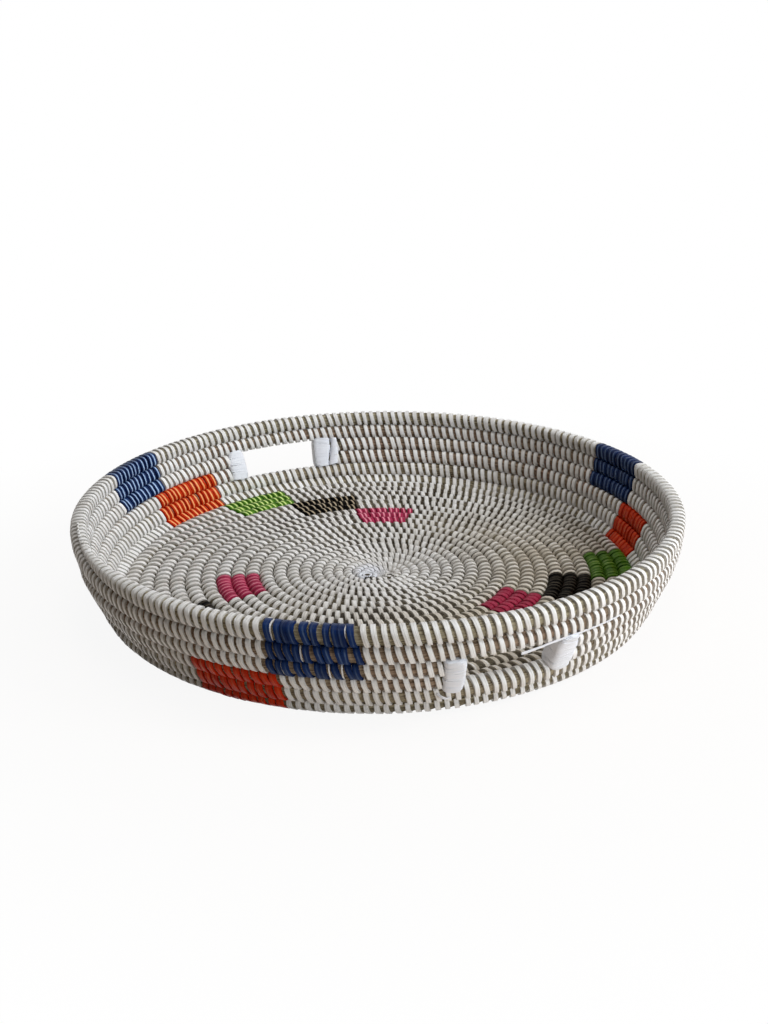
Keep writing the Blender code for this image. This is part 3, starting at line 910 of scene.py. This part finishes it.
def hairpin_bundle(name, slot, side):
    centre, into, up, _ = hairpin_place(slot, side)
    turn = np.linspace(-math.pi / 2, math.pi / 2, 13)[:, None]
    out = into * np.cos(turn) + up * np.sin(turn)
    ahead = up * np.cos(turn) - into * np.sin(turn)
    bend = WALL_PITCH / 2
    return bundle(name, short_run(DARK_SHADE_ROW, centre + out * bend, ahead, out, np.cross(ahead, out), bend, bend))


def travels_between(low, high):
    """The coil is wound from the higher azimuth to the lower."""
    return -high - (TURN if high < low else 0.0), -low


def make_side(name, from_slot, to_slot):
    """The two rows beside the slots, with the turned back ends under the bindings."""
    bends = travels_between(beside_slot(from_slot, 1, BEND_NOSE), beside_slot(to_slot, -1, BEND_NOSE))
    low = beside_slot(from_slot, 1, from_slot[3] - TUCKED_UNDER)
    start, end = travels_between(low, beside_slot(to_slot, -1, to_slot[4] - TUCKED_UNDER))
    under = math.degrees(TUCKED_UNDER / SLOT_RADIUS)
    white_runs, bundles = [], []
    for row in SIDE_ROWS:
        place = level_run(row)
        travels = lay_stitches(place, start, end, level_spans(row, start, end), WALL_SEWING, white_runs)
        rings, swell = swell_rings(place, travels, *bends)
        shaded = (rings.travel < start + under * 1.5) | (rings.travel > end - under * 1.5)
        rings = rings._replace(row=np.where(shaded, DARK_SHADE_ROW, rings.row))
        bundles.append(bundle(f"{name}_bundle_{row}", rings, swell))
    bundles += [hairpin_bundle(f"{name}_turn", from_slot, 1), hairpin_bundle(f"{name}_turn", to_slot, -1)]
    sew_white(name, white_runs, WALL_SEWING)
    keep(joined(f"{name}_grass_bundle", bundles), "grass_coil", name)


Fan = namedtuple("Fan", "count groups reach corner holes front", defaults=(None,))
# Each fan's needle holes, and the second fan's front line: millimetres into the slot and up from the bend's middle
FANS = {
    ("near", 1): [Fan(26, 5, 0.0150, 0.0085, ((-3.0, -12.8), (-4.0, -5.0), (-3.6, 3.5), (-2.0, 13.8)))],
    ("near", -1): [Fan(25, 5, 0.0150, 0.0050, ((0.4, -12.2), (-0.6, -3.0), (-1.0, 6.0), (-1.6, 14.2)))],
    ("far", 1): [Fan(22, 4, 0.0138, 0.0060, ((-4.7, -11.5), (-4.6, 0.0), (-3.7, 6.5), (-1.4, 13.2)))],
    ("far", -1): [
        Fan(22, 5, 0.0138, 0.0055, ((0.0, -13.0), (-1.1, -6.2), (-3.4, 0.7), (-4.0, 12.3))),
        Fan(
            15,
            3,
            0.0,
            0.0,
            ((-10.9, -11.1), (-11.7, -3.1), (-12.0, 5.0), (-11.2, 12.2)),
            ((-1.0, -12.8), (-2.8, -5.0), (-4.4, 2.0), (-5.2, 12.6)),
        ),
    ],
}


def evenly_on(line, share):
    """Places at these shares of a line's length, and the length."""
    way = lengths(line)
    return np.stack([np.interp(share * way[-1], way, line[:, i]) for i in (0, 1)], axis=1), way[-1]


def binding_turns(slot, side, fan):
    """Where the turns of one fan lie: each goes from a needle hole to the bend's outline and back."""
    centre, into, up, inward = hairpin_place(slot, side)
    share = np.linspace(0, 1, fan.count)
    if fan.front:
        front = np.array(fan.front) / 1000
    else:
        sweep = np.radians(np.linspace(-89, 89, 721))
        ahead = BINDING_NOSE - fan.corner * (1 - rounded(np.cos(sweep), BINDING_SQUARENESS))
        front = np.stack((ahead, fan.reach * rounded(np.sin(sweep), BINDING_SQUARENESS)), axis=1)
    tips, length = evenly_on(front, share)
    place = np.minimum((share * fan.groups).astype(int), fan.groups - 1)
    holes, _ = evenly_on(np.array(fan.holes) / 1000, 0.12 * place / (fan.groups - 1) + 0.88 * share)
    holes[:, 0] += CHANCE.uniform(-0.0009, 0.0005, fan.groups)[place]
    ends = [centre + into * spots[:, :1] + up * spots[:, 1:] for spots in (tips, holes)]
    reach = ends[0] - ends[1]
    along = np.linalg.norm(reach, axis=1)
    out = reach / along[:, None]
    across = WALL_PITCH / 2 + BINDING_STRIP * 0.6 + CHANCE.uniform(-0.0002, 0.0002, fan.count)
    run = short_run(DARK_SHADE_ROW, (ends[0] + ends[1]) / 2, np.cross(out, inward), out, inward, along / 2, across)
    return run, length / (fan.count - 1)


def binding_end(name, run, end):
    """Strip laid flat over the open side of a fan's first or last turn."""
    share = np.linspace(-0.97, 0.97, 9)
    out = run.ahead[end]
    out = out if (out @ UPWARD > 0) == (end != 0) else -out
    path = run.centre[end] + run.stack[end] * run.along[end] * share[:, None] + out * 0.0007
    return ribbon(name, path, out + np.zeros((9, 3)), 2 * run.across[end] * (1.0 - share**4) ** 0.25)


def make_binding(slot, side):
    """Close turns of strip round a turned back end, fanned from a few needle holes."""
    name = slot[0]
    word = "right" if side > 0 else "left"
    sewn_as = dict(strip_thickness=0.08, advance=0.0, squareness=0.5, fanning=0.95, steps_round=20, wander=0.035)
    parts = []
    for number, fan in enumerate(FANS[(name, side)]):
        run, spacing = binding_turns(slot, side, fan)
        sewn_as.update(strip_width=spacing * 1.25, seed=3 + number)
        parts.append(sew(f"{name}_binding_{number}", run, BINDING, **sewn_as))
        parts += [binding_end(f"{name}_binding_end", run, end) for end in (0, -1)]
    keep(joined(f"{name}_slot_binding_strip_{word}", parts), "white_strip", f"{name}_slot_binding_{word}")


def ribbon(name, path, out, width):
    """A loose length of flat strip along a path, with its flat side facing out."""
    out = unit(out)
    side = unit(np.cross(unit(np.gradient(path, axis=0)), out)) * np.asarray(width)[:, None] / 2
    corners = ((1, 1), (1, -1), (-1, -1), (-1, 1))
    rings = [path + side * across + out * above * 0.0002 for across, above in corners]
    count = len(path)
    made = mesh_object(name, np.stack(rings, axis=1).reshape(-1, 3), tube_faces(count, 4), BINDING)
    store(made, "across", np.tile([across for across, _ in corners], count))
    store(made, "round", np.repeat(np.linspace(0, 3, count), 4))
    store(made, "tone", np.full(4 * count, 0.3))
    made.data.set_sharp_from_angle(angle=SHARP)
    return made


def make_loose_ends():
    """A strand that has come loose over the near slot's upper edge, and a short tail below its left end."""
    azimuth = np.linspace(21.0, 0.6, 34)
    rows = np.full(34, 2.36)
    lean = lean_at(rows)[:, None]
    outward = heading(azimuth) * np.sin(lean) - UPWARD * np.cos(lean)
    hang = np.clip((9.0 - azimuth) / 7.8, 0, 1)[:, None] ** 1.3
    path = centre_at(azimuth, rows) + outward * (0.0056 + 0.0010 * hang) - UPWARD * 0.0024 * hang
    width = np.interp(azimuth, (1.2, 5.0, 21.0), (0.0022, 0.0016, 0.0011))
    keep(ribbon("loose_strand", path, outward, width), "white_strip")
    azimuth = np.linspace(-12.2, -10.0, 9)
    outward = heading(azimuth) * 0.95 - UPWARD * 0.3
    rise = np.sin(np.linspace(0, math.pi, 9))[:, None]
    path = centre_at(azimuth, np.linspace(4.70, 5.12, 9)) + outward * (0.0060 + 0.0022 * rise)
    keep(ribbon("strip_tail", path, outward, np.full(9, 0.0017)), "white_strip")


def make_blocks():
    for (colour, number), runs in BLOCK_RUNS.items():
        width, widening = BLOCK_WIDTHS.get(colour, (FLOOR_BLOCK_STITCH * 1.02, 1.0))
        sewn_as = dict(strip_width=width, inside_widening=widening, advance=WALL_BLOCK_STITCH, wander=0.09)
        sewn_as["gleam"] = BLOCK_GLEAM.get((colour, number), BLOCK_GLEAM.get(number, 0.1))
        parts = []
        for index, (run, squareness) in enumerate(runs):
            sewn_as.update(squareness=squareness, seed=10 * number + index)
            parts.append(sew(f"{colour}_{number}_row_{index}", run, COLOURED[colour], BLOCK_LIFT, **sewn_as))
        keep(joined(f"{colour}_block_strip_{number}", parts), f"{colour}_strip", f"{colour}_block_{number}")


def knot_part(name, centre, ahead, thick, finish, width):
    """Bundle and close turns of strip along one short part of the knot."""
    ahead = unit(ahead + np.zeros_like(centre))
    stack = unit(np.cross(UPWARD, ahead))
    run = short_run(KNOT_ROW, centre, ahead, stack, np.cross(ahead, stack), thick, thick)
    sewn_as = dict(strip_width=width, advance=0.0010, squareness=1.0, strip_thickness=0.2, wander=0.12)
    return bundle(f"{name}_bundle", run), sew(f"{name}_strip", run, finish, **sewn_as)


def make_knot():
    """The start of the coil: a short bound bundle, its first loop with a dark eye of painted shade, and a smaller
    loop.
    """
    share = np.linspace(-1, 1, 15)[:, None]
    middle = knot_place(share * 0.0082, share * 0.0008)
    core, strips = knot_part("knot_middle", middle, LONG_WAY, 0.0038 - 0.0010 * share[:, 0] ** 4, FLOOR_WHITE, 0.0014)
    cores, bright, plain = [core], [], [strips]
    for number, (along, aside, lift, radius, thick, turns, first, last) in enumerate(KNOT_LOOPS):
        turn = np.linspace(first, last, turns)[:, None]
        out = LONG_WAY * np.cos(turn) + WIDE_WAY * np.sin(turn)
        loop = knot_place(along, aside) + out * radius + UPWARD * lift
        fresh = along < 0
        strip = BINDING if fresh else FLOOR_WHITE
        ahead = WIDE_WAY * np.cos(turn) - LONG_WAY * np.sin(turn)
        core, strips = knot_part(f"knot_loop_{number}", loop, ahead, thick, strip, 0.0013)
        cores.append(core)
        (bright if fresh else plain).append(strips)
    share = np.linspace(-1, 1, 7)[:, None]
    # Painted shade: sunk dark grass where the loops' eyes and the knot's underside lie in shade.
    for number, (along, aside, radius, breadth, lift) in enumerate(KNOT_WELLS):
        middle = knot_place(along, aside) + LONG_WAY * 0.9 * radius * share + UPWARD * lift
        half = breadth * np.sqrt(1.05 - share[:, 0] ** 2)
        sunk = short_run(DARK_SHADE_ROW, middle, LONG_WAY, WIDE_WAY, UPWARD, half, WELL_DEPTH)
        cores.append(bundle(f"knot_well_{number}", sunk))
    keep(joined("knot_bundle", cores), "grass_coil", "centre_knot")
    keep(joined("knot_white_strip", plain), "white_strip")
    keep(joined("knot_eye_strip", bright), "white_strip")


# Light, floor and camera


def whiten(tree, soft, kind, output, *shares):
    """Shows plain white where the camera, a gloss or glass looks at the surface."""
    light = tree.nodes.new("ShaderNodeLightPath").outputs
    seen = reckon(tree, "MAXIMUM", light["Is Camera Ray"], light["Is Glossy Ray"])
    seen = reckon(tree, "MAXIMUM", seen, light["Is Transmission Ray"])
    white = add(tree, kind, {"Color": (1, 1, 1), "Strength": 1.0})
    blend = add(tree, "ShaderNodeMixShader", {0: product(tree, seen, *shares), 1: soft, 2: white})
    tree.links.new(blend.outputs[0], tree.nodes[output].inputs["Surface"])


def make_floor():
    made, tree, shader = finish("pale_floor", 0.9, Specular_IOR_Level=0.0)
    shader.inputs["Base Color"].default_value = (0.82, 0.72, 0.62, 1.0)
    away = how_far(tree, add(tree, "ShaderNodeTexCoord").outputs["Object"], (0.0, 0.0, 0.0))
    whiten(tree, shader, "ShaderNodeEmission", "Material Output", ranged(tree, away, 0.22, 0.50, 0.92, 1.0))
    corners = [(across * 6.0, along * 6.0, 0) for across, along in ((-1, -1), (1, -1), (1, 1), (-1, 1))]
    floor = mesh_object("pale_floor", corners, [(0, 1, 2, 3)])
    floor.data.materials.append(made)


def make_world():
    world = bpy.data.worlds.new("studio")
    bpy.context.scene.world = world
    world.use_nodes = True
    soft = world.node_tree.nodes["Background"]
    soft.inputs["Color"].default_value = (1.0, 0.86, 0.74, 1.0)
    soft.inputs["Strength"].default_value = 0.026
    whiten(world.node_tree, soft, "ShaderNodeBackground", "World Output")


def aimed(made, place, way, roll=0.0):
    """Stands a lamp or the camera at a place, looking that way."""
    turned = Vector(way).to_track_quat("-Z", "Y").to_matrix().to_4x4()
    made.matrix_world = Matrix.Translation(place) @ turned @ Matrix.Rotation(roll, 4, "Z")


def soft_lamp(name, azimuth, elevation, size, power, colour=(1.0, 1.0, 1.0)):
    """A round lamp LAMP_DISTANCE from the tray, aimed at the middle of it."""
    lamp = bpy.data.lights.new(name, "AREA")
    lamp.color = colour
    lamp.shape = "DISK"
    lamp.size = size
    lamp.energy = power
    azimuth, elevation = math.radians(azimuth), math.radians(elevation)
    level = math.cos(elevation) * LAMP_DISTANCE
    place = Vector((level * math.cos(azimuth), level * math.sin(azimuth), LAMP_DISTANCE * math.sin(elevation)))
    aimed(scene_object(name, lamp), place, Vector((0, 0, 0.03)) - place)


def make_camera():
    lens = bpy.data.cameras.new("camera")
    lens.sensor_fit = "HORIZONTAL"
    lens.sensor_width = SENSOR_WIDTH
    lens.lens = FOCAL_PIXELS / PHOTO_WIDTH * SENSOR_WIDTH
    lens.clip_start = 0.01
    made = scene_object("camera", lens)
    aimed(made, CAMERA_PLACE, CAMERA_FORWARD, CAMERA_ROLL)
    bpy.context.scene.camera = made


# The tray

bpy.context.scene.view_settings.view_transform = "Standard"
make_camera()
make_floor()
make_world()
soft_lamp("right_lamp", 55.0, 40.0, 0.6, 14.2, (0.93, 0.965, 1.0))
soft_lamp("low_lamp", 25.0, 12.0, 0.6, 9.5, (0.90, 0.95, 1.0))
soft_lamp("top_lamp", 0.0, 88.0, 0.9, 8.6, (1.0, 0.97, 0.94))
soft_lamp("glint_lamp", 100.0, 20.0, 0.2, 2.0)

EYE_PLACE = tuple(knot_place(-0.0090, 0.0020))
WARM_SHADE_PLACE = (0.12, 0.10, 0.01)  # painted shade with warm bounce light: the floor strip is a little darker and browner on this side
STITCH_TREE = make_stitch_tree()
STRIP_GROUP = make_strip_group()
# For each strip: its colours lit, deep and streak, gloss, relief, and the shares of SHARES; the streak is a painted
# highlight, and the crease and edge shares give painted shade
SHARES = ("streak_share", "tone_share", "crease_share", "fresh_share", "edge_share")
WHITES = {
    "sewing": ((0.95, 0.945, 0.935), (0.61, 0.575, 0.52), (0.99, 0.99, 1.0), 0.15, 0.0004, 0.8, 0.36, 0.5, 0.0, 0.24),
    "floor": ((0.95, 0.935, 0.915), (0.53, 0.49, 0.43), (1.0, 1.0, 1.0), 0.15, 0.0008, 1.0, 0.40, 0.7, 0.85, 0.30),
    "binding": ((0.88, 0.90, 0.95), (0.73, 0.75, 0.80), (0.92, 0.92, 0.94), 0.15, 0.00015, 0.4, 0.30, 0.2),
}
COLOURS = {
    "blue": ((0.006, 0.028, 0.118), (0.001, 0.005, 0.034), (0.43, 0.60, 0.87), 0.06, 0.0005, 0.18, 0.5),
    "orange": ((0.640, 0.042, 0.006), (0.360, 0.011, 0.001), (0.96, 0.48, 0.19), 0.06, 0.0005, 0.35, 0.5),
    "green": ((0.105, 0.270, 0.020), (0.030, 0.100, 0.006), (0.84, 1.0, 0.36), 0.06, 0.0005, 0.3, 0.6),
    "black": ((0.005, 0.0035, 0.0025), (0.001, 0.001, 0.001), (0.58, 0.48, 0.34), 0.015, 0.0005, 0.12, 0.5),
    "pink": ((0.480, 0.034, 0.100), (0.230, 0.011, 0.040), (0.95, 0.36, 0.46), 0.06, 0.0005, 0.35, 0.5),
}
WHITE, FLOOR_WHITE, BINDING = (strip_finish(f"white_{use}_strip", *values) for use, values in WHITES.items())
COLOURED = {colour: strip_finish(f"{colour}_strip", *values) for colour, values in COLOURS.items()}
GRASS = make_grass()
WALL_SEWING = Sewing(wall_stitch, WALL_STRIP_WIDTH, INSIDE_WIDENING, WALL_SQUARENESS, WHITE)
FLOOR_SEWING = Sewing(floor_stitch, FLOOR_STRIP_WIDTH, 1.0, FLOOR_SQUARENESS, FLOOR_WHITE)
BLOCK_RUNS = {}

make_floor_and_foot()
make_rim()
make_side("side_coil_right", HAND_SLOTS[0], HAND_SLOTS[1])
make_side("side_coil_left", HAND_SLOTS[1], HAND_SLOTS[0])
for hand_slot in HAND_SLOTS:
    for hand_side in (1, -1):
        make_binding(hand_slot, hand_side)
make_loose_ends()
make_blocks()
make_knot()
